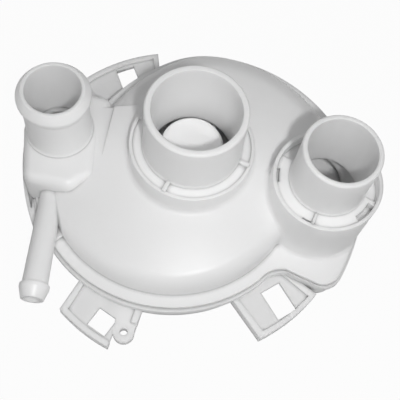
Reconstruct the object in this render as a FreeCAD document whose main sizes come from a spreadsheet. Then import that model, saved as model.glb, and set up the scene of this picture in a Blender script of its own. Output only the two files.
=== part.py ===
import FreeCAD, Part
import math
import os

import Sketcher

# Drain pump with a volute housing. Millimetres, +Z up along the hose spigots. The origin lies on the
# impeller axis in the plane that the base stands on, so the motor's register opens downwards at 0, 0, 0.

# Driving dimensions: name, value, what it is
SIZES = [
    ("base_h", 12.0, "height of the base plate up to the seam"),
    ("deck", 3.4, "thickness of the base plate's deck"),
    ("skirt", 2.6, "wall of the base plate's skirt"),
    ("skirt_step", 2.0, "how far the skirt stands back under the base plate's edge"),
    ("lip", 1.3, "how far the base stands out past the cover's flange"),
    ("flange_t", 3.0, "thickness of the cover's flange"),
    ("flange_w", 5.6, "width of the flange round the dome"),
    ("wall", 2.6, "wall of the dome"),
    ("body_x", -7.0, "centre of the body circle from the impeller axis"),
    ("body_y", -2.5, "centre of the body circle from the impeller axis"),
    ("body_r", 60.0, "foot of the dome where the volute starts"),
    ("start_r", 84.9, "radius of the volute's first stretch"),
    ("spiral_r", 39.7, "radius of the volute's widening stretch"),
    ("end_r", 72.2, "radius of the volute's last stretch"),
    ("end_out", 18.4, "how far that stretch stands out past the outlet's axis"),
    ("spiral_at", 126.7, "angle at which the volute starts to widen"),
    ("end_at", 93.3, "angle at which the last stretch starts"),
    ("crown_x", 4.0, "top of the crown from the impeller axis"),
    ("crown_y", 16.0, "top of the crown from the impeller axis"),
    ("crown_z", 39.0, "height of the crown's top"),
    ("crown_r", 215.0, "radius of the crown"),
    ("shoulder", 9.5, "rounding between crown and wall round the body"),
    ("shoulder_back", 21.0, "rounding between crown and wall round the volute"),
    ("lobe_r", 92.3, "reach of the outlet end of the flange from the body's centre"),
    ("inlet_r", 22.25, "outer radius of the inlet spigot"),
    ("inlet_bore", 19.35, "bore radius of the inlet spigot"),
    ("spigot_top", 75.0, "height of the inlet and outlet rims"),
    ("inlet_collar_r", 28.3, "stop collar of the inlet"),
    ("inlet_collar_z", 46.2, "top of the inlet's stop collar"),
    ("outlet_x", 62.2, "outlet spigot from the impeller axis"),
    ("outlet_y", -5.7, "outlet spigot from the impeller axis"),
    ("outlet_r", 17.1, "outer radius of the outlet spigot"),
    ("outlet_bore", 14.9, "bore radius of the outlet spigot"),
    ("outlet_cup_r", 24.8, "radius of the outlet chamber and its stop collar"),
    ("outlet_cup_z", 48.2, "top of the outlet's stop collar"),
    ("outlet_roof", 39.5, "underside of the outlet chamber's roof"),
    ("side_x", -62.2, "side spigot from the impeller axis"),
    ("side_y", 1.5, "side spigot from the impeller axis"),
    ("side_r", 14.8, "outer radius of the side spigot"),
    ("side_bore", 12.2, "bore radius of the side spigot"),
    ("side_barb_r", 16.3, "barb of the side spigot"),
    ("side_top", 66.0, "height of the side spigot's rim"),
    ("side_roof", 33.0, "top of the side chamber"),
    ("side_neck_r", 9.9, "hole through the side chamber's roof"),
    ("side_neck_t", 1.6, "thickness of the roof's edge round that hole"),
    ("relief", 1.6, "width of the step between the side chamber and the dome"),
    ("nipple_r", 5.8, "outer radius of the drain nipple at its barb"),
    ("nipple_root_r", 5.2, "outer radius of the drain nipple at its root"),
    ("nipple_bore", 3.6, "bore radius of the drain nipple"),
    ("nipple_barb_r", 6.7, "barb of the drain nipple"),
    ("nipple_z", 20.0, "height of the drain nipple's axis"),
    ("nipple_x", -59.8, "root of the drain nipple"),
    ("nipple_y", -26.0, "root of the drain nipple"),
    ("nipple_len", 51.4, "length of the drain nipple from its root"),
    ("nipple_turn", 5.3, "turn of the drain nipple away from -Y, in degrees"),
    ("collar_z", 38.0, "where the inlet's collar is open at the back, it stops at this height"),
    ("collar_step", 1.4, "width of the collar's raised edge"),
    ("cup_groove", 1.6, "depth of the channel round the outlet"),
    ("collar_blend", 2.5, "rounding where the inlet's collar meets the dome"),
    ("cup_blend", 2.0, "rounding where the outlet chamber meets the dome"),
    ("tube_foot", 0.4, "how much thicker a spigot is inside its stop collar"),
    ("seam_groove", 1.0, "height and depth of the groove along the seam"),
    ("cup_pocket_z", 42.1, "bottom of the deep pocket behind the outlet"),
    ("gusset_t", 1.6, "thickness of the collar's gussets"),
    ("gusset_rise", 1.3, "how far the gussets stand above the collar"),
    ("tab_t", 4.4, "floor of the clip tabs"),
    ("tab_floor", 1.8, "thickness of that floor"),
    ("tab_rim_h", 6.0, "height of the clip tabs' rim"),
    ("tab_rim", 2.4, "wall of the clip tabs' rim"),
    ("tab_root_r", 61.0, "where the front tabs grow out of the base"),
    ("front_tab_r", 87.8, "reach of the front right tab"),
    ("left_tab_r", 84.0, "reach of the front left tab"),
    ("back_tab_r", 77.1, "reach of the back left tab"),
    ("back_x", 13.5, "how far the back tab is laid out to the left of the widening stretch's centre"),
    ("back_y", 29.3, "how far it is laid out in front of that centre"),
    ("side_tray_r", 74.4, "reach of the tray under the side chamber"),
    ("side_tray_z", 7.0, "floor of that tray"),
    ("screw_x", -14.1, "screw lug from the impeller axis"),
    ("screw_y", -79.3, "screw lug from the impeller axis"),
    ("lug_r", 4.9, "radius of the screw lug"),
    ("lug_h", 4.4, "height of the screw lug"),
    ("screw_r", 1.7, "screw hole in the lug"),
    ("register_r", 22.0, "motor register in the underside"),
    ("register_wall", 2.6, "wall of the motor register"),
    ("rib_t", 2.0, "ribs under the deck"),
    ("neck_r", 10.8, "outer radius of the base's hub"),
    ("neck_h", 7.0, "height of the base's hub above the deck"),
    ("seat_pocket_r", 9.0, "pocket for the seal's seat"),
    ("shaft_hole_r", 5.4, "shaft hole in the base's hub"),
    ("impeller_r", 40.0, "radius of the impeller"),
    ("disc_t", 2.4, "thickness of the impeller's disc"),
    ("disc_z", 14.0, "underside of the impeller's disc"),
    ("vane_t", 2.0, "thickness of the impeller's vanes"),
    ("vane_h", 9.5, "height of the impeller's vanes above the disc"),
    ("hub_r", 14.2, "radius of the impeller's hub"),
    ("hub_top", 46.0, "top of the impeller's hub"),
    ("hub_hollow_r", 11.9, "seal chamber inside the impeller's hub"),
    ("hub_hollow_top", 31.5, "top of that chamber"),
    ("insert_r", 7.0, "outer radius of the drive sleeve"),
    ("insert_len", 12.0, "length of the drive sleeve"),
    ("shaft_r", 4.05, "shaft hole in the drive sleeve"),
    ("shaft_flat", 3.2, "flat of the shaft hole from the axis"),
    ("seat_r", 7.6, "radius of the ceramic seat"),
    ("seat_t", 4.2, "thickness of the ceramic seat"),
    ("cup_floor", 1.4, "rubber under the ceramic seat"),
    ("face_r", 7.3, "radius of the carbon face ring"),
    ("face_t", 2.8, "thickness of the carbon face ring"),
    ("seal_gap", 0.3, "gap between parts that turn on each other"),
    ("bellows_r", 8.4, "largest radius of the bellows"),
]

VANES = 6
RIBS = 8

# Gap on the radius between a piece and the pocket it sits in
FIT = 0.05


class Size:
    """A length or an angle with the sheet formula that gives it."""

    def __init__(self, value, text):
        self.value = value
        self.text = text

    def __add__(self, other):
        other = as_size(other)
        return Size(self.value + other.value, f"({self.text} + {other.text})")

    def __radd__(self, other):
        return as_size(other) + self

    def __sub__(self, other):
        other = as_size(other)
        return Size(self.value - other.value, f"({self.text} - {other.text})")

    def __rsub__(self, other):
        return as_size(other) - self

    def __mul__(self, other):
        other = as_size(other)
        return Size(self.value * other.value, f"({self.text} * {other.text})")

    def __rmul__(self, other):
        return as_size(other) * self

    def __truediv__(self, other):
        other = as_size(other)
        return Size(self.value / other.value, f"({self.text} / {other.text})")

    def __neg__(self):
        return Size(-self.value, f"(0 - {self.text})")


def as_size(number):
    if isinstance(number, Size):
        return number
    return Size(float(number), f"({float(number):g})" if number < 0 else f"{float(number):g}")


def cosine(angle):
    angle = as_size(angle)
    return Size(math.cos(math.radians(angle.value)), f"cos({angle.text} * 1 deg)")


def sine(angle):
    angle = as_size(angle)
    return Size(math.sin(math.radians(angle.value)), f"sin({angle.text} * 1 deg)")


def polar(centre, radius, angle):
    """The point at a radius and an angle from a centre."""
    return (centre[0] + radius * cosine(angle), centre[1] + radius * sine(angle))


doc = FreeCAD.newDocument("DrainPump")
sheet = doc.addObject("Spreadsheet::Sheet", "Sizes")


class Names:
    """The sheet's sizes by name."""


S = Names()
for row, (alias, number, note) in enumerate(SIZES, start=1):
    sheet.set(f"A{row}", note)
    sheet.set(f"B{row}", str(number))
    sheet.setAlias(f"B{row}", alias)
    setattr(S, alias, Size(number, f"Sizes.{alias}"))
doc.recompute()

AXIS = (as_size(0), as_size(0))
BODY = (S.body_x, S.body_y)
OUTLET = (S.outlet_x, S.outlet_y)
SIDE = (S.side_x, S.side_y)
SEAM = S.base_h
FLANGE_TOP = SEAM + S.flange_t


def bind(item, **sizes):
    """Tie properties of an object to sheet formulas."""
    for name, size in sizes.items():
        size = as_size(size)
        setattr(item, name, size.value)
        item.setExpression(name, size.text)


def bind_place(item, x=0, y=0, z=0):
    """Tie an object's place to sheet formulas."""
    x, y, z = as_size(x), as_size(y), as_size(z)
    item.Placement.Base = FreeCAD.Vector(x.value, y.value, z.value)
    for name, size in (("x", x), ("y", y), ("z", z)):
        item.setExpression(f"Placement.Base.{name}", size.text)


def new_body(name, x=0, y=0, z=0):
    body = doc.addObject("PartDesign::Body", name)
    bind_place(body, x, y, z)
    return body


def origin_feature(body, role):
    for feature in body.Origin.OriginFeatures:
        if feature.Role == role:
            return feature
    raise ValueError(role)


def new_sketch(body, name, role="XY_Plane", lift=0):
    sketch = body.newObject("Sketcher::SketchObject", name)
    sketch.AttachmentSupport = (origin_feature(body, role), [""])
    sketch.MapMode = "FlatFace"
    lift = as_size(lift)
    sketch.AttachmentOffset.Base = FreeCAD.Vector(0, 0, lift.value)
    sketch.setExpression("AttachmentOffset.Base.z", lift.text)
    return sketch


def tie_point(sketch, geometry, end, point):
    """Hold one end of a sketch line at sheet formulas."""
    for kind, size in (("DistanceX", point[0]), ("DistanceY", point[1])):
        size = as_size(size)
        index = sketch.addConstraint(Sketcher.Constraint(kind, -1, 1, geometry, end, size.value))
        sketch.setExpression(f"Constraints[{index}]", size.text)


def vector(point):
    return FreeCAD.Vector(as_size(point[0]).value, as_size(point[1]).value, 0)


def draw_loop(sketch, points):
    """A closed loop. Each step is a corner, or a (via, corner) pair for an arc that ends there."""
    corners = [step[1] if isinstance(step[0], tuple) else step for step in points]
    made = []
    for step, corner, before in zip(points, corners, corners[-1:] + corners[:-1]):
        if isinstance(step[0], tuple):
            start, via, end = vector(before), vector(step[0]), vector(corner)
            clockwise = (via - start).cross(end - via).z < 0
            if clockwise:
                start, end = end, start
            edge = sketch.addGeometry(Part.Arc(start, via, end), False)
            point = sketch.addGeometry(Part.Point(via), True)
            tie_point(sketch, point, 1, step[0])
            sketch.addConstraint(Sketcher.Constraint("PointOnObject", point, 1, edge))
            made.append((edge, 2, 1) if clockwise else (edge, 1, 2))
        else:
            edge = sketch.addGeometry(Part.LineSegment(vector(before), vector(corner)), False)
            made.append((edge, 1, 2))
    for (edge, start, end), corner, follower in zip(made, corners, made[1:] + made[:1]):
        tie_point(sketch, edge, end, corner)
        sketch.addConstraint(Sketcher.Constraint("Coincident", edge, end, follower[0], follower[1]))


def pad(body, name, points, bottom, height):
    """A prism of a loop in the XY plane, from one height upwards."""
    sketch = new_sketch(body, name + "Sketch", lift=bottom)
    draw_loop(sketch, points)
    feature = body.newObject("PartDesign::Pad", name)
    feature.Profile = sketch
    bind(feature, Length=height)
    return feature


def revolve(body, name, points, kind="PartDesign::Revolution"):
    """A turned form from (radius, height) points."""
    sketch = new_sketch(body, name + "Sketch", role="XZ_Plane")
    draw_loop(sketch, points)
    feature = body.newObject(kind, name)
    feature.Profile = sketch
    feature.ReferenceAxis = (sketch, ["V_Axis"])
    feature.Angle = 360
    return feature


def prism(name, points, bottom, height, x=0, y=0):
    body = new_body(name, x, y)
    pad(body, name + "Pad", points, bottom, height)
    return body


def turned(name, points, x=0, y=0):
    body = new_body(name, x, y)
    revolve(body, name + "Turn", points)
    return body


def cylinder(name, radius, bottom, height, x=0, y=0):
    item = doc.addObject("Part::Cylinder", name)
    bind(item, Radius=radius, Height=height)
    bind_place(item, x, y, bottom)
    return item


def fuse(name, shapes):
    item = doc.addObject("Part::MultiFuse", name)
    item.Shapes = shapes
    item.Refine = True
    return item


def cut(name, base, tool):
    item = doc.addObject("Part::Cut", name)
    item.Base = base
    item.Tool = tool
    item.Refine = True
    return item


def edges_where(shape, test):
    """Names of the edges whose sampled points pass a test."""
    names = []
    for number, edge in enumerate(shape.Edges, start=1):
        if not edge.Degenerated and test(edge.discretize(Number=7)):
            names.append(f"Edge{number}")
    return names


def is_upright(points):
    return points[0].distanceToPoint(points[-1]) > 1 and all(
        math.hypot(point.x - points[0].x, point.y - points[0].y) < 0.01 for point in points)


def is_level_above(height):
    """A test for edges that lie above a height and are not upright."""
    def test(points):
        return all(point.z > height for point in points) and not is_upright(points)
    return test


def fillet(body, name, base, edges, radius):
    feature = body.newObject("PartDesign::Fillet", name)
    feature.Base = (base, edges)
    bind(feature, Radius=radius)
    return feature


def around(centre, radius, low, high):
    """A test for edges that run round a centre between two heights and touch neither."""
    x, y = centre[0].value, centre[1].value

    def test(points):
        return all(
            abs(math.hypot(point.x - x, point.y - y) - radius.value) < 0.5
            and low.value + 0.5 < point.z < high.value - 0.5 for point in points)
    return test


def blended(name, shape, blends):
    """A body that carries a form and rounds the edges that pass each test."""
    body = new_body(name)
    body.BaseFeature = shape
    doc.recompute()
    feature = body.Tip
    for number, (test, radius) in enumerate(blends, start=1):
        feature = fillet(body, f"{name}_{number}", feature, edges_where(feature.Shape, test), radius)
        doc.recompute()
    return body


# Outlines of the volute. The body circle widens in two tangent arcs towards the outlet.

# They are laid out backwards from the outlet, which the last stretch meets.

END = (S.outlet_x + S.end_out - S.end_r, S.outlet_y)
SPIRAL = polar(END, S.end_r - S.spiral_r, S.end_at)
START = polar(SPIRAL, S.spiral_r - S.start_r, S.spiral_at)

# The back left tab follows the widening stretch
BACK = (SPIRAL[0] - S.back_x, SPIRAL[1] - S.back_y)


def arc_step(centre, radius, start, end):
    """One arc of a loop, given by its centre and its two angles."""
    middle = (as_size(start) + end) / 2
    return (polar(centre, radius, middle), polar(centre, radius, end))


def spiral_steps(grow, first, last):
    """Clockwise from an angle on the body circle, through the volute, to an angle on its last stretch."""
    return [
        arc_step(BODY, S.body_r + grow, first, -105),
        arc_step(BODY, S.body_r + grow, -105, -195),
        polar(START, S.start_r + grow, 162),
        arc_step(START, S.start_r + grow, 162, S.spiral_at),
        arc_step(SPIRAL, S.spiral_r + grow, S.spiral_at, S.end_at),
        arc_step(END, S.end_r + grow, S.end_at, last),
    ]


def moved(points, centre):
    """The same loop seen from another origin."""
    def shift(point):
        return (point[0] - centre[0], point[1] - centre[1])
    return [(shift(step[0]), shift(step[1])) if isinstance(step[0], tuple) else shift(step)
            for step in points]


def dome_outline(grow):
    first = as_size(-15)
    return [polar(BODY, S.body_r + grow, first)] + spiral_steps(grow, first, as_size(-8))


def flange_outline(grow):
    """The dome's line grown outwards, with the square lobe under the outlet."""
    rim = S.body_r + grow
    lobe = S.lobe_r - S.flange_w + grow
    first = as_size(-41)
    return [
        polar(BODY, rim + 4.9, -30.3),
        (polar(BODY, rim + 0.7, -34.5), polar(BODY, rim, first)),
    ] + spiral_steps(grow, first, as_size(3)) + [
        (polar(BODY, lobe, -10), polar(BODY, lobe, -21.5)),
        (polar(BODY, lobe - 1.5, -24.8), polar(BODY, lobe - 5.8, -27.3)),
    ]


def chamber_outline(grow):
    """The side chamber under the side spigot, seen from above."""
    left = S.side_x - 16.8 - grow
    right = S.side_x + 20.7 + grow
    back = S.side_y + 23 + grow
    front = S.side_y - 28.5 - grow
    return [
        (left, S.side_y - 2),
        (left + 7, front),
        (right - 9, front),
        (right, front + 9),
        (right, back),
        (left + 12, back),
        (left, back - 12),
    ]


# The cover: one moulding

def dome(name, inset):
    """The domed volute, or its hollow when it is inset by the wall. It starts well below the seam."""
    inset = as_size(inset)
    centre = (S.crown_x, S.crown_y)
    body = new_body(name, *centre)
    bottom = SEAM - 10
    pad(body, name + "Block", moved(dome_outline(-inset), centre), bottom, S.crown_z + 1 - bottom)
    top = S.crown_z - inset
    ball = (as_size(0), top - S.crown_r)
    rim = polar(ball, S.crown_r, 62)
    crown = revolve(body, name + "Crown", [
        (0, top),
        (polar(ball, S.crown_r, 76), rim),
        (rim[0], top + 5),
        (0, top + 5),
    ], kind="PartDesign::Groove")
    doc.recompute()
    front = fillet(body, name + "Front", crown, edges_where(crown.Shape, is_crown_rim(-1)),
                   S.shoulder - inset)
    doc.recompute()
    fillet(body, name + "Back", front, edges_where(front.Shape, is_crown_rim(1)),
           S.shoulder_back - inset)
    return body


def is_crown_rim(side):
    """A test for the crown's edges over the curved walls in front of or behind the outlet."""
    outlet = S.outlet_y.value - S.crown_y.value

    def test(points):
        if any(point.z < SEAM.value or math.hypot(point.x, point.y) < 30 for point in points):
            return False
        start, middle, end = points[0], points[len(points) // 2], points[-1]
        across = (middle.x - start.x) * (end.y - start.y) - (middle.y - start.y) * (end.x - start.x)
        curved = abs(across) > 0.03 * (end - start).Length
        return curved and (middle.y - outlet) * side > 0 and not is_upright(points)
    return test


def rounded_block(name, points, bottom, height, corner, top):
    """A prism with rounded upright corners and a rounded upper edge."""
    body = new_body(name)
    block = pad(body, name + "Pad", points, bottom, height)
    doc.recompute()
    sides = fillet(body, name + "Corners", block, edges_where(block.Shape, is_upright), corner)
    doc.recompute()
    level = (as_size(bottom) + height).value - 0.1
    fillet(body, name + "Edge", sides, edges_where(sides.Shape, is_level_above(level)), top)
    return body


def sector(name, inner, outer, bottom, height, first, last, centre=AXIS):
    """Part of a ring between two angles."""
    disc = cylinder(name + "Outer", outer, bottom, height, *centre)
    bind(disc, Angle=as_size(last) - first)
    disc.Placement.Rotation = FreeCAD.Rotation(FreeCAD.Vector(0, 0, 1), as_size(first).value)
    disc.setExpression("Placement.Rotation.Angle", as_size(first).text)
    return cut(name, disc, cylinder(name + "Inner", inner, bottom - 1, as_size(height) + 2, *centre))


def bar(name, length, width, bottom, height, turn, centre=AXIS, start=0):
    """A bar that points away from a centre at an angle."""
    item = doc.addObject("Part::Box", name)
    bind(item, Length=length, Width=width, Height=height)
    x = centre[0] + as_size(start) * cosine(turn) + as_size(width) / 2 * sine(turn)
    y = centre[1] + as_size(start) * sine(turn) - as_size(width) / 2 * cosine(turn)
    bind_place(item, x, y, bottom)
    item.Placement.Rotation = FreeCAD.Rotation(FreeCAD.Vector(0, 0, 1), as_size(turn).value)
    item.setExpression("Placement.Rotation.Angle", as_size(turn).text)
    return item


def nipple_point(length, radius):
    """A point of the nipple's profile, seen from above."""
    turn = S.nipple_turn
    return (
        S.nipple_x + as_size(length) * sine(turn) + as_size(radius) * cosine(turn),
        S.nipple_y - as_size(length) * cosine(turn) + as_size(radius) * sine(turn),
    )


def nipple_form(name, points):
    """A turned form on the nipple's axis from (length, radius) points."""
    body = new_body(name)
    sketch = new_sketch(body, name + "Sketch", lift=S.nipple_z)
    draw_loop(sketch, [nipple_point(*point) for point in points])
    ends = [nipple_point(0, 0), nipple_point(S.nipple_len, 0)]
    line = sketch.addGeometry(Part.LineSegment(vector(ends[0]), vector(ends[1])), True)
    tie_point(sketch, line, 1, ends[0])
    tie_point(sketch, line, 2, ends[1])
    feature = body.newObject("PartDesign::Revolution", name + "Turn")
    feature.Profile = sketch
    feature.ReferenceAxis = (sketch, ["Axis0"])
    feature.Angle = 360
    return body


def inlet_spigot():
    """The tube, the channel in its stop collar, where the collar is open at the back, and its gussets."""
    top = S.inlet_collar_z
    foot = S.inlet_r + S.tube_foot
    edge = S.inlet_collar_r - S.collar_step
    tube = turned("inlet_tube", [
        (0, S.crown_z - 6),
        (foot, S.crown_z - 6),
        (foot, top + 1),
        (S.inlet_r, top + 1.4),
        (S.inlet_r, S.spigot_top - 0.7),
        (S.inlet_r - 0.7, S.spigot_top),
        (0, S.spigot_top),
    ])
    channel = turned("inlet_channel", [
        (0, top - 0.4),
        (S.inlet_r, top - 0.4),
        (edge, top - 1.4),
        (edge, top + 1),
        (0, top + 1),
    ])
    opening = sector("inlet_collar_opening", S.inlet_r, S.inlet_collar_r + 3, S.collar_z, 12, 30, 163)
    gussets = [
        bar(f"inlet_gusset_{number}", edge + 0.5 - S.inlet_r, S.gusset_t, top - 2, 2 + S.gusset_rise,
            turn, start=S.inlet_r)
        for number, turn in enumerate((-107, -12), start=1)
    ]
    return [tube] + gussets, [channel, opening]


def outlet_spigot():
    """The tube, and the channel and pockets in the top of the outlet chamber."""
    top = S.outlet_cup_z
    foot = S.outlet_r + S.tube_foot
    edge = S.outlet_cup_r - 1.6
    tube = turned("outlet_tube", [
        (0, top - 8),
        (foot, top - 8),
        (foot, top + 0.2),
        (S.outlet_r, top + 0.6),
        (S.outlet_r, S.spigot_top - 0.6),
        (S.outlet_r - 0.6, S.spigot_top),
        (0, S.spigot_top),
    ], *OUTLET)
    channel = turned("outlet_channel", [
        (0, top - 0.8),
        (S.outlet_r, top - 0.8),
        (edge, top - S.cup_groove - 0.4),
        (edge, top + 1),
        (0, top + 1),
    ], *OUTLET)
    deep_h = top - S.cup_pocket_z + 1
    pockets = [
        sector("outlet_pocket_back", S.outlet_r, edge, S.cup_pocket_z, deep_h, -14, 158, OUTLET),
        sector("outlet_pocket_right", S.outlet_r + 3, edge, S.cup_pocket_z, deep_h, -46, -19, OUTLET),
        sector("outlet_pocket_front", edge - 1.6, edge, top - 4, 5, -114, -100, OUTLET),
        sector("outlet_pocket_left", edge - 1.6, edge, top - 4, 5, 175, 193, OUTLET),
    ]
    return [tube], [channel] + pockets


def side_spigot():
    foot = S.side_roof + 0.6
    barb = S.side_barb_r
    tube = turned("side_tube", [
        (0, S.side_roof - 5),
        (S.side_r + 0.8, S.side_roof - 5),
        (S.side_r + 0.8, foot),
        (S.side_r + 0.1, foot + 0.6),
        (S.side_r, foot + 1),
        (S.side_r, S.side_top - 9),
        (barb, S.side_top - 5.2),
        (barb, S.side_top - 3.8),
        (S.side_r - 1.1, S.side_top),
        (0, S.side_top),
    ], *SIDE)
    block = rounded_block("side_chamber", chamber_outline(as_size(0)), SEAM, S.side_roof - SEAM, 6, 4.5)
    return [tube, block]


def drain_nipple():
    length = S.nipple_len
    return nipple_form("nipple", [
        (0, 0),
        (0, S.nipple_root_r),
        (length - 7.5, S.nipple_r),
        (length - 6.5, S.nipple_barb_r),
        (length - 5, S.nipple_barb_r),
        (length, S.nipple_r - 0.7),
        (length, 0),
    ])


def cover_passages():
    """Everything the water runs through."""
    roof = S.side_roof - S.wall
    return [
        dome("dome_hollow", S.wall),
        rounded_block("side_chamber_hollow", chamber_outline(-S.wall), SEAM + S.wall,
                      roof - SEAM - S.wall, 3.4, 2),
        cylinder("inlet_hollow", S.inlet_bore, S.crown_z - 9, S.spigot_top, *AXIS),
        cylinder("side_hollow", S.side_bore, roof + S.side_neck_t, S.side_top, *SIDE),
        cylinder("side_neck", S.side_neck_r, roof - 1, S.side_top, *SIDE),
        cylinder("outlet_chamber", S.outlet_cup_r - S.wall, SEAM - 1, S.outlet_roof - SEAM + 1, *OUTLET),
        cylinder("outlet_hollow", S.outlet_bore, S.outlet_roof - 1, S.spigot_top, *OUTLET),
        nipple_form("nipple_hollow", [
            (-3, 0),
            (-3, S.nipple_bore),
            (S.nipple_len + 1, S.nipple_bore),
            (S.nipple_len + 1, 0),
        ]),
    ]


def seam_flange():
    """The flange, with the groove that shows as a dark line along the seam."""
    step = S.seam_groove
    return fuse("flange", [
        prism("flange_foot", flange_outline(S.flange_w - step), SEAM, step),
        prism("flange_top", flange_outline(S.flange_w), SEAM + step, S.flange_t - step),
    ])


def nipple_pad():
    """The raised stretch of the flange beside the drain nipple."""
    return fan("nipple_pad", 216, 224, S.body_r - 2, S.body_r + S.flange_w - 0.8, SEAM + 2, S.flange_t)


def volute_cover():
    """The dome, its flange and the two collars are blended first. Tubes and passages follow."""
    below = cylinder("below_seam", S.lobe_r * 2, SEAM - 20, 20)
    relief = prism("side_relief", chamber_outline(S.relief), S.side_roof, 20)
    collar_foot = SEAM + 10
    shell = blended("cover_shell", fuse("cover_forms", [
        cut("dome_trimmed", dome("dome", 0), fuse("dome_cuts", [below, relief])),
        seam_flange(),
        cylinder("inlet_collar", S.inlet_collar_r, collar_foot, S.inlet_collar_z - collar_foot),
        cylinder("outlet_cup", S.outlet_cup_r, SEAM, S.outlet_cup_z - SEAM, *OUTLET),
    ]), [
        (around(AXIS, S.inlet_collar_r, collar_foot, S.inlet_collar_z), S.collar_blend),
        (around(OUTLET, S.outlet_cup_r, FLANGE_TOP - 1, S.outlet_cup_z), S.cup_blend),
    ])
    inlet, inlet_cuts = inlet_spigot()
    outlet, outlet_cuts = outlet_spigot()
    collared = cut("cover_collared", shell, fuse("collar_cuts", inlet_cuts + outlet_cuts))
    outside = [collared, nipple_pad(), drain_nipple()] + inlet + outlet + side_spigot()
    return cut("volute_cover", fuse("cover_outside", outside), fuse("cover_passages", cover_passages()))


# The base: the other moulding, with the clip tabs

def fan(name, first, last, inner, outer, bottom, height, lean=0, skew=0, centre=BODY):
    """Part of a ring round a centre. With a lean its outer side gains radius on the way, and
    with a skew its first side starts at another angle inside than outside."""
    middle = as_size(first + last) / 2
    return prism(name, [
        polar(centre, inner, first + skew),
        polar(centre, outer - lean, first),
        (polar(centre, outer, middle), polar(centre, outer + lean, last)),
        polar(centre, inner, last),
    ], bottom, height)


def tray(name, first, last, reach, window, rims=(2, 2), lean=0, skew=0, centre=BODY):
    """A clip tab: a thin floor with a rim on its outer sides and a window through it.
    The rims at its two ends are given as angles."""
    def inside(part, bottom, height):
        return fan(name + part, first + rims[0], last - rims[1], S.tab_root_r - 1, reach - S.tab_rim,
                   bottom, height, lean, skew, centre)
    block = fan(name + "_block", first, last, S.tab_root_r, reach, 0, S.tab_rim_h, lean, skew, centre)
    under = S.tab_t - S.tab_floor
    return cut(name, block, fuse(name + "_cuts", [
        inside("_above", S.tab_t, S.tab_rim_h), inside("_below", under - 9, 9), window]))


def side_tray():
    """The tray under the side chamber, which has no window and is closed beside the nipple."""
    def edge(grow):
        reach = S.side_tray_r + grow
        return [
            polar(BODY, S.tab_root_r, 172),
            polar(BODY, reach + 2.3, 172),
        ], polar(BODY, reach - 2.3, 190), reach - 4.3
    start, via, end = edge(as_size(0))
    block = prism("side_tray_block", start + [
        (via, polar(BODY, end, 213)),
        polar(BODY, S.tab_root_r, 213),
    ], 0, S.base_h - 1)
    start, via, end = edge(as_size(-1.5))
    hollow = prism("side_tray_hollow", start + [
        (via, polar(BODY, end, 205)),
        polar(BODY, S.body_r + 6.6, 197),
        polar(BODY, S.tab_root_r, 184),
    ], S.side_tray_z, S.base_h)
    return cut("side_tray", block, hollow)


def window(name, inset, at, length, width, turn, reach, centre=BODY):
    """A square hole through a tab, at an angle from a centre and inside the tab's reach."""
    middle = polar(centre, reach - inset, at)
    return bar(name, length, width, -1, S.tab_rim_h + 2, turn, middle, start=as_size(length) / (-2))


def screw_lug():
    """The lug beside the front left tab, its web and the short rib that stiffens it."""
    x, y = S.screw_x, S.screw_y
    lug = cylinder("lug_eye", S.lug_r, 0, S.lug_h, x, y)
    web = prism("lug_web", [
        (x + 6.6, y + 15),
        (x - 5, y + 15),
        (x - 5, y + 4),
        (x, y),
        (x + S.lug_r - 0.2, y),
    ], 0, S.lug_h)
    rib = prism("lug_rib", [
        (x + 6.6, y + 15),
        (x + 3.6, y + 15),
        (x + 2.2, y + 4.6),
        (x + 5.3, y + 4.6),
    ], 0, S.tab_rim_h)
    return cut("screw_lug", fuse("lug_solid", [lug, web, rib]),
               cylinder("screw_hole", S.screw_r, -1, S.lug_h + 2, x, y))


def base_tabs():
    return [
        tray("tab_front_right", -51.3, -28.2, S.front_tab_r,
             window("window_front_right", 10.2, -38.3, 15.1, 10.5, -48.8, S.front_tab_r),
             lean=0.6, skew=-2.6),
        tray("tab_front_left", -117.4, -98.4, S.left_tab_r,
             window("window_front_left", 7.7, -103.4, 9.6, 9.8, -114, S.left_tab_r),
             rims=(2, -1), lean=2.2, skew=-2.6),
        tray("tab_back_left", 106.4, 141, S.back_tab_r,
             window("window_back_left", 9.7, 120.8, 13, 9.8, 120.5, S.back_tab_r, BACK),
             lean=-1.5, centre=BACK),
        side_tray(),
        screw_lug(),
    ]


def base_plate():
    deck_z = S.base_h - S.deck
    edge = S.flange_w + S.lip
    deck = prism("base_deck", flange_outline(edge), deck_z, S.deck)
    skirt = prism("base_skirt", flange_outline(edge - S.skirt_step), 0, deck_z)
    inside = edge - S.skirt_step - S.skirt
    hollow = prism("base_hollow", flange_outline(inside), -1, deck_z + 1)
    kept = [cylinder("register_outside", S.register_r + S.register_wall, -2, S.base_h)]
    kept += [
        bar(f"rib_{number}", 100, S.rib_t, 2, S.base_h, 15 + 360 * number / RIBS)
        for number in range(RIBS)
    ]
    under = cut("base_pockets", hollow, fuse("base_kept", kept))
    neck = cylinder("base_neck", S.neck_r, deck_z, S.deck + S.neck_h)
    register = cylinder("register_hollow", S.register_r, -1, deck_z + 1)
    seat = cylinder("seat_pocket", S.seat_pocket_r, SEAM + S.neck_h - S.seat_t - S.cup_floor, 10)
    shaft = cylinder("shaft_hole", S.shaft_hole_r, -1, 40)
    plate = cut("base_shell", fuse("base_block", [deck, skirt]), under)
    whole = fuse("base_with_tabs", [plate, neck] + base_tabs())
    return cut("base_plate", whole, fuse("base_bores", [register, seat, shaft]))


# The turning parts and the shaft seal

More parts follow.
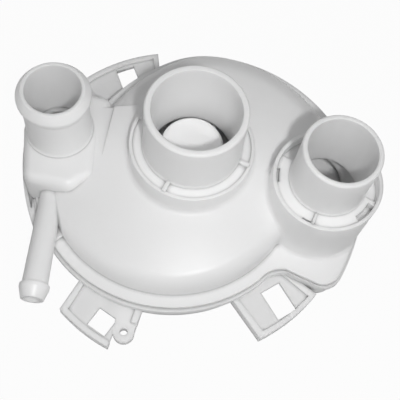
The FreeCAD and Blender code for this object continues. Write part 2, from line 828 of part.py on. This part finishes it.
def impeller():
    disc_top = S.disc_z + S.disc_t
    vane = new_body("vanes")
    tip = S.impeller_r - 0.5
    root = S.hub_r - 0.7
    blade = pad(vane, "Vane", [
        polar(AXIS, root, 0),
        (polar(AXIS, 27, 11), polar(AXIS, tip, 33)),
        polar(AXIS, tip, 36),
        (polar(AXIS, 27, 15.2), polar(AXIS, root, 8)),
    ], disc_top - 0.5, S.vane_h + 0.5)
    pattern = vane.newObject("PartDesign::PolarPattern", "VaneRing")
    pattern.Originals = [blade]
    pattern.Axis = (origin_feature(vane, "Z_Axis"), [""])
    pattern.Angle = 360
    pattern.Occurrences = VANES
    vane.Tip = pattern
    disc = cylinder("disc", S.impeller_r, S.disc_z, S.disc_t)
    hub = turned("hub", [
        (0, S.disc_z),
        (S.hub_r, S.disc_z),
        (S.hub_r, S.hub_top - 2),
        ((S.hub_r - 0.6, S.hub_top - 0.6), (S.hub_r - 2, S.hub_top)),
        (0, S.hub_top + 0.6),
    ])
    sleeve_h = S.insert_len + FIT
    cuts = fuse("impeller_hollows", [
        cylinder("hub_hollow", S.hub_hollow_r, S.disc_z - 1, S.hub_hollow_top - S.disc_z + 1),
        cylinder("sleeve_pocket", S.insert_r + FIT, S.hub_hollow_top - 1, sleeve_h + 1),
    ])
    return cut("impeller", fuse("impeller_solid", [disc, vane, hub]), cuts)


def drive_insert():
    sleeve = cylinder("sleeve", S.insert_r, S.hub_hollow_top, S.insert_len)
    bore = cylinder("sleeve_bore", S.shaft_r, S.hub_hollow_top - 1, S.insert_len + 2)
    flat = doc.addObject("Part::Box", "sleeve_flat")
    bind(flat, Length=S.shaft_r, Width=S.shaft_r * 4, Height=S.insert_len + 4)
    bind_place(flat, S.shaft_flat, S.shaft_r * -2, S.hub_hollow_top - 2)
    return cut("drive_insert", sleeve, cut("sleeve_hole", bore, flat))


def shaft_seal():
    """Seat and cup stand in the base's hub. Face ring and bellows turn with the impeller."""
    cup_z = SEAM + S.neck_h - S.seat_t - S.cup_floor
    seat_z = cup_z + S.cup_floor
    face_z = SEAM + S.neck_h + S.seal_gap
    bellows_z = face_z + S.face_t
    cup = turned("seat_cup", [
        (S.shaft_hole_r, cup_z),
        (S.seat_pocket_r - FIT, cup_z),
        (S.seat_pocket_r - FIT, seat_z + S.seat_t - 0.8),
        (S.seat_r + FIT, seat_z + S.seat_t - 0.8),
        (S.seat_r + FIT, seat_z),
        (S.shaft_hole_r, seat_z),
    ])
    seat = turned("seal_seat", [
        (S.shaft_hole_r, seat_z),
        (S.seat_r, seat_z),
        (S.seat_r, seat_z + S.seat_t),
        (S.shaft_hole_r, seat_z + S.seat_t),
    ])
    face = turned("seal_face", [
        (S.shaft_hole_r, face_z),
        (S.face_r - 1, face_z),
        (S.face_r, face_z + 1),
        (S.face_r, bellows_z),
        (S.shaft_hole_r, bellows_z),
    ])
    top = S.hub_hollow_top
    step = (top - bellows_z - 1.2) / 4
    inner = S.shaft_hole_r
    folds = []
    for number in range(1, 5):
        out = S.bellows_r if number % 2 == 0 else S.bellows_r - 1.6
        folds.append((out, bellows_z + 1.2 + step * number))
    for number in range(4, 0, -1):
        side = S.bellows_r - 1.4 if number % 2 == 0 else S.bellows_r - 3
        folds.append((side, bellows_z + 1.2 + step * number))
    bellows = turned("seal_bellows", [
        (inner, bellows_z),
        (S.hub_hollow_r - 1.3, bellows_z),
        (S.hub_hollow_r - 1.3, bellows_z + 1.2),
        (S.bellows_r, bellows_z + 1.2),
    ] + folds + [
        (inner, bellows_z + 1.2),
    ])
    return [cup, seat, face, bellows]


def check(items):
    """Stop if an object failed or a part isn't one sound solid."""
    for item in doc.Objects:
        if any(word in item.State for word in ("Invalid", "Error")):
            raise ValueError(f"{item.Name}: {item.State}")
    for item in items:
        if item.Shape.isNull() or not item.Shape.isValid() or len(item.Shape.Solids) != 1:
            raise ValueError(f"{item.Name} isn't one sound solid")


parts = [volute_cover(), base_plate(), impeller(), drive_insert()] + shaft_seal()
doc.recompute()
check(parts)
os.makedirs("parts", exist_ok=True)
for part in parts:
    part.Shape.exportStep(f"parts/{part.Label}.step")
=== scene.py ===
"""Finishes, one small rib, studio and camera for a drain pump's volute housing."""

import math

import bpy
from mathutils import Matrix, Vector


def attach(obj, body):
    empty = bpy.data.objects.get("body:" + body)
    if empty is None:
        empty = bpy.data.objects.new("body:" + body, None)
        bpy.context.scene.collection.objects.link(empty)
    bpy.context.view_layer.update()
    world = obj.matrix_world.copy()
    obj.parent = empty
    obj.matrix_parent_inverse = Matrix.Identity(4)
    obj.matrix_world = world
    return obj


bl_info = {
    "name": "Drain Pump Housing",
    "version": (1, 0, 0),
    "blender": (4, 5, 0),
    "location": "View3D > Sidebar > Drain Pump",
    "description": "Gives a drain pump's housing its finishes and sets up its studio",
    "category": "Object",
}

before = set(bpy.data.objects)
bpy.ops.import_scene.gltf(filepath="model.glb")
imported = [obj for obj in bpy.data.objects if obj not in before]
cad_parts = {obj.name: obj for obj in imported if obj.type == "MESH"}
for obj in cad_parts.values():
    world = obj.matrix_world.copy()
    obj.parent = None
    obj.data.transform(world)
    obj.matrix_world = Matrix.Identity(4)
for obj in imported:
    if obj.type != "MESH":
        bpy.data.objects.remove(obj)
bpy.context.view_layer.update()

MM = 0.001

# How far light goes into the milky plastic
MILKY_DEPTH = 3.5 * MM

# How near two faces must be for the corner between them to get painted shade
PAINTED_SHADE_REACH = 2.5 * MM

# The floor lies a hair under the base, so that the two never share a plane
FLOOR_GAP = 0.1 * MM

# Faces that meet at less than this are shaded as one
SMOOTH_ANGLE = math.radians(35)

# The rib takes the cover's material by this name
COVER_PLASTIC = "Moulded polypropylene, cover"


# Sizes and colours that a user would change

class DrainPumpFinish(bpy.types.PropertyGroup):
    """Colours and surface of the mouldings and of the shaft seal."""

    cover_hex: bpy.props.StringProperty(
        name="Cover", description="Colour of the volute cover", default="#FAFAFA")
    base_hex: bpy.props.StringProperty(
        name="Base", description="Colour of the base plate", default="#F8F8F8")
    impeller_hex: bpy.props.StringProperty(
        name="Impeller", description="Colour of the impeller", default="#F8F8F8")
    brass_hex: bpy.props.StringProperty(
        name="Sleeve", description="Colour of the brass drive sleeve", default="#C9A45C")
    rubber_hex: bpy.props.StringProperty(
        name="Rubber", description="Colour of the seal's rubber", default="#1C1C1D")
    ceramic_hex: bpy.props.StringProperty(
        name="Ceramic", description="Colour of the seal's seat", default="#E9E4D8")
    carbon_hex: bpy.props.StringProperty(
        name="Carbon", description="Colour of the seal's face ring", default="#2A2B2D")
    grain: bpy.props.FloatProperty(
        name="Grain", description="Size of the mould's eroded grain", default=0.7 * MM,
        min=0.1 * MM, max=5 * MM, unit="LENGTH")
    edge: bpy.props.FloatProperty(
        name="Edge", description="Radius that the mould leaves on every edge", default=0.55 * MM,
        min=0.0, max=3 * MM, unit="LENGTH")


class DrainPumpRib(bpy.types.PropertyGroup):
    """The small upright rib at the front of the channel round the outlet."""

    axis: bpy.props.FloatVectorProperty(
        name="Axis", description="The outlet's axis, from above", default=(62.2 * MM, -5.7 * MM),
        size=2, unit="LENGTH")
    turn: bpy.props.FloatProperty(
        name="Turn", description="Where the rib stands round that axis", default=math.radians(-101),
        subtype="ANGLE")
    inner: bpy.props.FloatProperty(
        name="Inner end", description="Radius at which it enters the tube", default=17.3 * MM, unit="LENGTH")
    outer: bpy.props.FloatProperty(
        name="Outer end", description="Radius at which it enters the collar", default=23.7 * MM,
        unit="LENGTH")
    foot: bpy.props.FloatProperty(
        name="Foot", description="Height of its foot, just under the channel's floor", default=46.0 * MM,
        unit="LENGTH")
    top: bpy.props.FloatProperty(
        name="Top", description="Height of its top, level with the collar", default=48.2 * MM, unit="LENGTH")
    thick: bpy.props.FloatProperty(
        name="Thickness", description="Across its top", default=1.1 * MM, min=0.4 * MM, unit="LENGTH")
    flare: bpy.props.FloatProperty(
        name="Flare", description="How many times wider its foot is", default=1.9, min=1.0)
    flare_share: bpy.props.FloatProperty(
        name="Flare's share", description="How much of its height the flare takes", default=0.4,
        min=0.1, max=0.9, subtype="FACTOR")
    soft: bpy.props.FloatProperty(
        name="Rounding", description="Radius of its edges", default=0.25 * MM, min=0.0, unit="LENGTH")


class DrainPumpStudio(bpy.types.PropertyGroup):
    """Floor, lamps and camera."""

    floor_size: bpy.props.FloatProperty(
        name="Floor", description="Side of the floor", default=3.0, min=0.5, unit="LENGTH")
    key: bpy.props.FloatProperty(
        name="Key lamp", description="Strength of the small lamp at the right of the camera, in watts",
        default=1.0, min=0.0)
    key_place: bpy.props.FloatVectorProperty(
        name="Key lamp's place", description="Where that lamp hangs",
        default=(66 * MM, -228 * MM, 420 * MM), subtype="XYZ", unit="LENGTH")
    key_size: bpy.props.FloatProperty(
        name="Key lamp's size", description="Its side, small for crisp shadows", default=20 * MM,
        unit="LENGTH")
    fill: bpy.props.FloatProperty(
        name="Fill lamp", description="Strength of the soft box above the camera, in watts", default=0.5,
        min=0.0)
    fill_place: bpy.props.FloatVectorProperty(
        name="Fill lamp's place", description="Where that soft box hangs",
        default=(20 * MM, -233 * MM, 765 * MM), subtype="XYZ", unit="LENGTH")
    fill_size: bpy.props.FloatProperty(
        name="Fill lamp's size", description="Its side", default=120 * MM, unit="LENGTH")
    sky: bpy.props.FloatProperty(
        name="Sky", description="Strength of the even light from all round", default=0.285, min=0.0)
    card_hex: bpy.props.StringProperty(
        name="Card", description="Colour of the floor as it lights the object", default="#A8A8A8")
    card_shown: bpy.props.FloatProperty(
        name="Card's white", description="How much of the floor is shown as plain white", default=0.96,
        min=0.0, max=1.0, subtype="FACTOR")
    lens: bpy.props.FloatProperty(
        name="Lens", description="Focal length on a 36 mm wide picture", default=65.81, min=10.0)
    elevation: bpy.props.FloatProperty(
        name="Elevation", description="How far the camera looks down", default=math.radians(64.72),
        subtype="ANGLE")
    roll: bpy.props.FloatProperty(
        name="Roll", description="Turn of the picture", default=math.radians(11.18), subtype="ANGLE")
    distance: bpy.props.FloatProperty(
        name="Distance", description="From the camera to its target", default=350.64 * MM, unit="LENGTH")
    target: bpy.props.FloatVectorProperty(
        name="Target", description="Point that the camera looks at",
        default=(8.34 * MM, -12.10 * MM, 15.0 * MM), subtype="XYZ", unit="LENGTH")


# Small tools

def linear(hex_colour):
    """An sRGB hex colour as linear values."""
    channels = []
    for start in (1, 3, 5):
        value = int(hex_colour[start:start + 2], 16) / 255
        channels.append(value / 12.92 if value <= 0.04045 else ((value + 0.055) / 1.055) ** 2.4)
    return (*channels, 1.0)


def add_node(tree, kind, settings=None, inputs=None):
    """Adds a node. An input is a value, or another node's output socket."""
    node = tree.nodes.new(kind)
    for name, value in (settings or {}).items():
        setattr(node, name, value)
    for name, value in (inputs or {}).items():
        if isinstance(value, bpy.types.NodeSocket):
            tree.links.new(value, node.inputs[name])
        else:
            node.inputs[name].default_value = value
    return node


def start_material(name):
    """An empty material with its shader."""
    material = bpy.data.materials.new(name)
    material.use_nodes = True
    tree = material.node_tree
    tree.nodes.clear()
    shader = add_node(tree, "ShaderNodeBsdfPrincipled")
    add_node(tree, "ShaderNodeOutputMaterial", inputs={"Surface": shader.outputs["BSDF"]})
    return material, tree, shader


def finish_node(name, material):
    """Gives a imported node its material."""
    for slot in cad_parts[name].material_slots:
        slot.material = material


def moulded_plastic(name, hex_colour, grain, edge, roughness, painted_corner_shade):
    """Polypropylene out of a spark-eroded mould: pale, half matt, every edge a little round.

    The last argument says how light the plastic stays in its corners, where shade is painted into its
    colour.
    """
    material, tree, shader = start_material(name)
    place = add_node(tree, "ShaderNodeTexCoord").outputs["Object"]
    # Melt that cooled at slightly different times is a touch lighter or darker over 2 to 3 cm
    flow = add_node(tree, "ShaderNodeTexNoise", inputs={
        "Vector": place, "Scale": 1 / (25 * MM), "Detail": 2.0, "Roughness": 0.4})
    shade = add_node(tree, "ShaderNodeMapRange", inputs={
        "Value": flow.outputs["Fac"], "From Min": 0.3, "From Max": 0.7, "To Min": 0.975, "To Max": 1.0})
    # Painted shade: tight corners, found by ambient occlusion, are darkened in the colour
    corner = add_node(tree, "ShaderNodeAmbientOcclusion", {"samples": 8}, {"Distance": PAINTED_SHADE_REACH})
    painted_shade = add_node(tree, "ShaderNodeMapRange", inputs={
        "Value": corner.outputs["AO"], "From Min": 0.35, "From Max": 0.85,
        "To Min": painted_corner_shade, "To Max": 1.0})
    tone = add_node(tree, "ShaderNodeMath", {"operation": "MULTIPLY"}, {
        0: shade.outputs["Result"], 1: painted_shade.outputs["Result"]})
    colour = add_node(tree, "ShaderNodeVectorMath", {"operation": "SCALE"}, {
        "Vector": linear(hex_colour)[:3], "Scale": tone.outputs["Value"]})
    tree.links.new(colour.outputs["Vector"], shader.inputs["Base Color"])
    # The eroded grain is really about 0.05 mm and is drawn coarser, so that it shows as a soft sheen
    grit = add_node(tree, "ShaderNodeTexNoise", inputs={
        "Vector": place, "Scale": 1 / grain, "Detail": 3.0, "Roughness": 0.55})
    sheen = add_node(tree, "ShaderNodeMapRange", inputs={
        "Value": grit.outputs["Fac"], "From Min": 0.3, "From Max": 0.7,
        "To Min": roughness - 0.05, "To Max": roughness + 0.05})
    tree.links.new(sheen.outputs["Result"], shader.inputs["Roughness"])
    rounded = add_node(tree, "ShaderNodeBevel", {"samples": 8}, {"Radius": edge})
    bump = add_node(tree, "ShaderNodeBump", inputs={
        "Strength": 0.12, "Distance": 0.03 * MM, "Height": grit.outputs["Fac"],
        "Normal": rounded.outputs["Normal"]})
    tree.links.new(bump.outputs["Normal"], shader.inputs["Normal"])
    shader.inputs["IOR"].default_value = 1.49
    # Unfilled polypropylene is milky, so light gets a few millimetres into its walls
    shader.inputs["Subsurface Weight"].default_value = 1.0
    shader.inputs["Subsurface Radius"].default_value = (1.0, 1.0, 1.0)
    shader.inputs["Subsurface Scale"].default_value = MILKY_DEPTH
    return material


def machined_brass(name, hex_colour):
    """Brass turned on a lathe: fine rings round the axis that stretch its highlights."""
    material, tree, shader = start_material(name)
    place = add_node(tree, "ShaderNodeTexCoord").outputs["Object"]
    rings = add_node(tree, "ShaderNodeTexWave", {"wave_type": "BANDS", "bands_direction": "Z"}, {
        "Vector": place, "Scale": 1 / (1.5 * MM), "Distortion": 0.4, "Detail": 1.0})
    gloss = add_node(tree, "ShaderNodeMapRange", inputs={
        "Value": rings.outputs["Fac"], "To Min": 0.22, "To Max": 0.36})
    tree.links.new(gloss.outputs["Result"], shader.inputs["Roughness"])
    bump = add_node(tree, "ShaderNodeBump", inputs={
        "Strength": 0.2, "Distance": 0.01 * MM, "Height": rings.outputs["Fac"]})
    tree.links.new(bump.outputs["Normal"], shader.inputs["Normal"])
    shader.inputs["Base Color"].default_value = linear(hex_colour)
    shader.inputs["Metallic"].default_value = 1.0
    return material


def moulded_rubber(name, hex_colour):
    """Nitrile rubber: nearly black, matt, with a bloom that lightens it in patches."""
    material, tree, shader = start_material(name)
    place = add_node(tree, "ShaderNodeTexCoord").outputs["Object"]
    bloom = add_node(tree, "ShaderNodeTexNoise", inputs={
        "Vector": place, "Scale": 1 / (3 * MM), "Detail": 4.0})
    patch = add_node(tree, "ShaderNodeMapRange", inputs={
        "Value": bloom.outputs["Fac"], "From Min": 0.4, "From Max": 0.75, "To Min": 1.0, "To Max": 1.7})
    colour = add_node(tree, "ShaderNodeVectorMath", {"operation": "SCALE"}, {
        "Vector": linear(hex_colour)[:3], "Scale": patch.outputs["Result"]})
    tree.links.new(colour.outputs["Vector"], shader.inputs["Base Color"])
    shader.inputs["Roughness"].default_value = 0.62
    return material


def lapped_ring(name, hex_colour, roughness, speck):
    """Sintered ring lapped flat: even, with fine specks from the powder it was pressed from.

    speck is how much lighter those specks are.
    """
    material, tree, shader = start_material(name)
    place = add_node(tree, "ShaderNodeTexCoord").outputs["Object"]
    powder = add_node(tree, "ShaderNodeTexNoise", inputs={
        "Vector": place, "Scale": 1 / (0.4 * MM), "Detail": 2.0})
    grain = add_node(tree, "ShaderNodeMapRange", inputs={
        "Value": powder.outputs["Fac"], "From Min": 0.55, "From Max": 0.75, "To Min": 1.0, "To Max": speck})
    colour = add_node(tree, "ShaderNodeVectorMath", {"operation": "SCALE"}, {
        "Vector": linear(hex_colour)[:3], "Scale": grain.outputs["Result"]})
    tree.links.new(colour.outputs["Vector"], shader.inputs["Base Color"])
    shader.inputs["Roughness"].default_value = roughness
    return material


def studio_card(name, hex_colour, shown):
    """Matt card. The camera and mirror-like surfaces see it nearly plain white, with a little shade."""
    material = bpy.data.materials.new(name)
    material.use_nodes = True
    tree = material.node_tree
    tree.nodes.clear()
    card = add_node(tree, "ShaderNodeBsdfDiffuse", inputs={"Color": linear(hex_colour)})
    glow = add_node(tree, "ShaderNodeEmission", inputs={"Color": linear("#FFFFFF"), "Strength": 1.0})
    path = add_node(tree, "ShaderNodeLightPath")
    seen = add_node(tree, "ShaderNodeMath", {"operation": "MAXIMUM"}, {
        0: path.outputs["Is Camera Ray"], 1: path.outputs["Is Glossy Ray"]})
    through = add_node(tree, "ShaderNodeMath", {"operation": "MAXIMUM"}, {
        0: seen.outputs["Value"], 1: path.outputs["Is Transmission Ray"]})
    amount = add_node(tree, "ShaderNodeMath", {"operation": "MULTIPLY"}, {
        0: through.outputs["Value"], 1: shown})
    mix = add_node(tree, "ShaderNodeMixShader", inputs={
        "Fac": amount.outputs["Value"], 1: card.outputs["BSDF"], 2: glow.outputs["Emission"]})
    add_node(tree, "ShaderNodeOutputMaterial", inputs={"Surface": mix.outputs["Shader"]})
    return material


def start_piece(name, add, **options):
    """Adds a primitive with nothing else selected, and names it and its mesh."""
    if bpy.context.object and bpy.context.object.mode != "OBJECT":
        bpy.ops.object.mode_set(mode="OBJECT")
    bpy.ops.object.select_all(action="DESELECT")
    add(**options)
    piece = bpy.context.object
    piece.name = name
    piece.data.name = name
    return piece


def settle(piece):
    """Moves a piece's place into its mesh."""
    bpy.ops.object.select_all(action="DESELECT")
    piece.select_set(True)
    bpy.context.view_layer.objects.active = piece
    bpy.ops.object.transform_apply(location=True, rotation=True, scale=True)


def pick_faces(piece, wanted):
    """Selects, in edit mode, only the faces whose centre and normal pass a test."""
    bpy.ops.mesh.select_mode(type="FACE")
    bpy.ops.mesh.select_all(action="DESELECT")
    bpy.ops.object.mode_set(mode="OBJECT")
    for face in piece.data.polygons:
        face.select = wanted(face.center, face.normal)
    bpy.ops.object.mode_set(mode="EDIT")


class Dress:
    """What every operator of the housing shares."""

    bl_options = {"REGISTER", "UNDO"}

    @property
    def finish(self):
        return bpy.context.scene.drain_pump_finish


class DRAINPUMP_OT_housing(Dress, bpy.types.Operator):
    """Gives the cover, the base and the impeller their moulded plastic"""

    bl_idname = "drain_pump.housing"
    bl_label = "Finish the mouldings"

    def execute(self, context):
        look = self.finish
        # Each moulding's last number sets how light its corners stay under the painted shade
        finish_node("volute_cover", moulded_plastic(
            COVER_PLASTIC, look.cover_hex, look.grain, look.edge,
            roughness=0.4, painted_corner_shade=0.6))
        finish_node("base_plate", moulded_plastic(
            "Moulded polypropylene, base", look.base_hex, look.grain, look.edge,
            roughness=0.44, painted_corner_shade=0.6))
        # The impeller's corners get almost no painted shade, so that it stays light where it shows down the
        # inlet
        finish_node("impeller", moulded_plastic(
            "Moulded polypropylene, impeller", look.impeller_hex, look.grain, look.edge,
            roughness=0.44, painted_corner_shade=0.95))
        return {"FINISHED"}


class DRAINPUMP_OT_rib(Dress, bpy.types.Operator):
    """Models the small rib in the channel round the outlet"""

    bl_idname = "drain_pump.rib"
    bl_label = "Model the channel's rib"

    def execute(self, context):
        rib = context.scene.drain_pump_rib
        reach = rib.outer - rib.inner
        flare_rise = (rib.top - rib.foot) * rib.flare_share
        body_rise = rib.top - rib.foot - flare_rise
        piece = start_piece("outlet_channel_rib", bpy.ops.mesh.primitive_cube_add, size=1.0)
        bpy.ops.object.mode_set(mode="EDIT")
        bpy.ops.mesh.select_all(action="SELECT")
        bpy.ops.transform.resize(value=(reach, rib.thick, body_rise), center_override=(0, 0, 0))
        # The foot flares into the channel's floor
        pick_faces(piece, lambda centre, normal: normal.z < -0.9)
        bpy.ops.mesh.extrude_region_move(TRANSFORM_OT_translate={"value": (0, 0, -flare_rise)})
        bpy.ops.transform.resize(value=(1, rib.flare, 1), center_override=(0, 0, 0))
        bpy.ops.mesh.select_all(action="SELECT")
        bpy.ops.mesh.bevel(offset=rib.soft, segments=3, affect="EDGES", clamp_overlap=True)
        bpy.ops.mesh.normals_make_consistent(inside=False)
        bpy.ops.object.mode_set(mode="OBJECT")
        middle = (rib.inner + rib.outer) / 2
        piece.location = (
            rib.axis[0] + middle * math.cos(rib.turn),
            rib.axis[1] + middle * math.sin(rib.turn),
            rib.top - body_rise / 2)
        piece.rotation_euler = (0, 0, rib.turn)
        settle(piece)
        bpy.ops.object.shade_smooth_by_angle(angle=SMOOTH_ANGLE)
        piece.data.materials.append(bpy.data.materials[COVER_PLASTIC])
        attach(piece, "housing")
        return {"FINISHED"}


class DRAINPUMP_OT_seal(Dress, bpy.types.Operator):
    """Gives the drive sleeve and the shaft seal their finishes"""

    bl_idname = "drain_pump.seal"
    bl_label = "Finish the shaft seal"

    def execute(self, context):
        look = self.finish
        finish_node("drive_insert", machined_brass("Turned brass", look.brass_hex))
        rubber = moulded_rubber("Moulded nitrile rubber", look.rubber_hex)
        finish_node("seat_cup", rubber)
        finish_node("seal_bellows", rubber)
        finish_node("seal_seat", lapped_ring(
            "Lapped alumina", look.ceramic_hex, roughness=0.25, speck=1.05))
        finish_node("seal_face", lapped_ring(
            "Lapped carbon graphite", look.carbon_hex, roughness=0.38, speck=1.6))
        return {"FINISHED"}


class DRAINPUMP_OT_studio(bpy.types.Operator):
    """Sets up the floor, the lamps, the sky and the camera"""

    bl_idname = "drain_pump.studio"
    bl_label = "Set up the studio"
    bl_options = {"REGISTER", "UNDO"}

    def execute(self, context):
        studio = context.scene.drain_pump_studio
        self.lay_floor(studio)
        self.hang_lamp("key_lamp", studio.key_place, studio.key_size, studio.key)
        self.hang_lamp("fill_lamp", studio.fill_place, studio.fill_size, studio.fill)
        self.set_sky(context.scene, studio)
        self.set_camera(context.scene, studio)
        context.scene.view_settings.view_transform = "Standard"
        return {"FINISHED"}

    def lay_floor(self, studio):
        floor = start_piece("floor", bpy.ops.mesh.primitive_plane_add, size=studio.floor_size,
                            location=(0, 0, -FLOOR_GAP))
        settle(floor)
        floor.data.materials.append(studio_card("Matt card", studio.card_hex, studio.card_shown))

    def hang_lamp(self, name, place, size, strength):
        """A square soft box aimed at the object."""
        lamp = bpy.data.lights.new(name, "AREA")
        lamp.size = size
        lamp.energy = strength
        holder = bpy.data.objects.new(name, lamp)
        bpy.context.collection.objects.link(holder)
        holder.location = place
        holder.rotation_euler = Vector(place).to_track_quat("Z", "Y").to_euler()

    def set_sky(self, scene, studio):
        """Even light, and plain white behind the object."""
        world = bpy.data.worlds.new("studio")
        scene.world = world
        world.use_nodes = True
        tree = world.node_tree
        tree.nodes.clear()
        path = add_node(tree, "ShaderNodeLightPath")
        light = add_node(tree, "ShaderNodeBackground", inputs={
            "Color": linear("#FFFFFF"), "Strength": studio.sky})
        shown = add_node(tree, "ShaderNodeBackground", inputs={"Color": linear("#FFFFFF"), "Strength": 1.0})
        mix = add_node(tree, "ShaderNodeMixShader", inputs={
            "Fac": path.outputs["Is Camera Ray"], 1: light.outputs["Background"],
            2: shown.outputs["Background"]})
        add_node(tree, "ShaderNodeOutputWorld", inputs={"Surface": mix.outputs["Shader"]})

    def set_camera(self, scene, studio):
        """Looks down at the photograph's angle, with its roll."""
        lean, roll = studio.elevation, studio.roll
        back = Vector((0, -math.cos(lean), math.sin(lean)))
        level = Vector((1, 0, 0))
        rise = Vector((0, math.sin(lean), math.cos(lean)))
        right = math.cos(roll) * level + math.sin(roll) * rise
        up = math.cos(roll) * rise - math.sin(roll) * level
        place = Vector(studio.target) + studio.distance * back
        camera = bpy.data.objects.new("camera", bpy.data.cameras.new("camera"))
        bpy.context.collection.objects.link(camera)
        camera.matrix_world = Matrix.Translation(place) @ Matrix((right, up, back)).transposed().to_4x4()
        camera.data.lens = studio.lens
        camera.data.sensor_width = 36.0
        scene.camera = camera


class DRAINPUMP_PT_panel(bpy.types.Panel):
    """Lists the steps in the sidebar."""

    bl_idname = "DRAINPUMP_PT_panel"
    bl_label = "Drain Pump"
    bl_space_type = "VIEW_3D"
    bl_region_type = "UI"
    bl_category = "Drain Pump"

    def draw(self, context):
        for step in STEPS:
            self.layout.operator(step.bl_idname)
        scene = context.scene
        for group in (scene.drain_pump_finish, scene.drain_pump_rib, scene.drain_pump_studio):
            box = self.layout.box()
            for name in group.__annotations__:
                box.prop(group, name)


STEPS = (DRAINPUMP_OT_housing, DRAINPUMP_OT_rib, DRAINPUMP_OT_seal, DRAINPUMP_OT_studio)
GROUPS = (DrainPumpFinish, DrainPumpRib, DrainPumpStudio)


def register():
    for group in GROUPS + STEPS + (DRAINPUMP_PT_panel,):
        bpy.utils.register_class(group)
    bpy.types.Scene.drain_pump_finish = bpy.props.PointerProperty(type=DrainPumpFinish)
    bpy.types.Scene.drain_pump_rib = bpy.props.PointerProperty(type=DrainPumpRib)
    bpy.types.Scene.drain_pump_studio = bpy.props.PointerProperty(type=DrainPumpStudio)


def unregister():
    del bpy.types.Scene.drain_pump_studio
    del bpy.types.Scene.drain_pump_rib
    del bpy.types.Scene.drain_pump_finish
    for group in reversed(GROUPS + STEPS + (DRAINPUMP_PT_panel,)):
        bpy.utils.unregister_class(group)


def main():
    register()
    bpy.ops.drain_pump.studio()
    bpy.ops.drain_pump.housing()
    bpy.ops.drain_pump.rib()
    bpy.ops.drain_pump.seal()


if __name__ == "__main__":
    main()
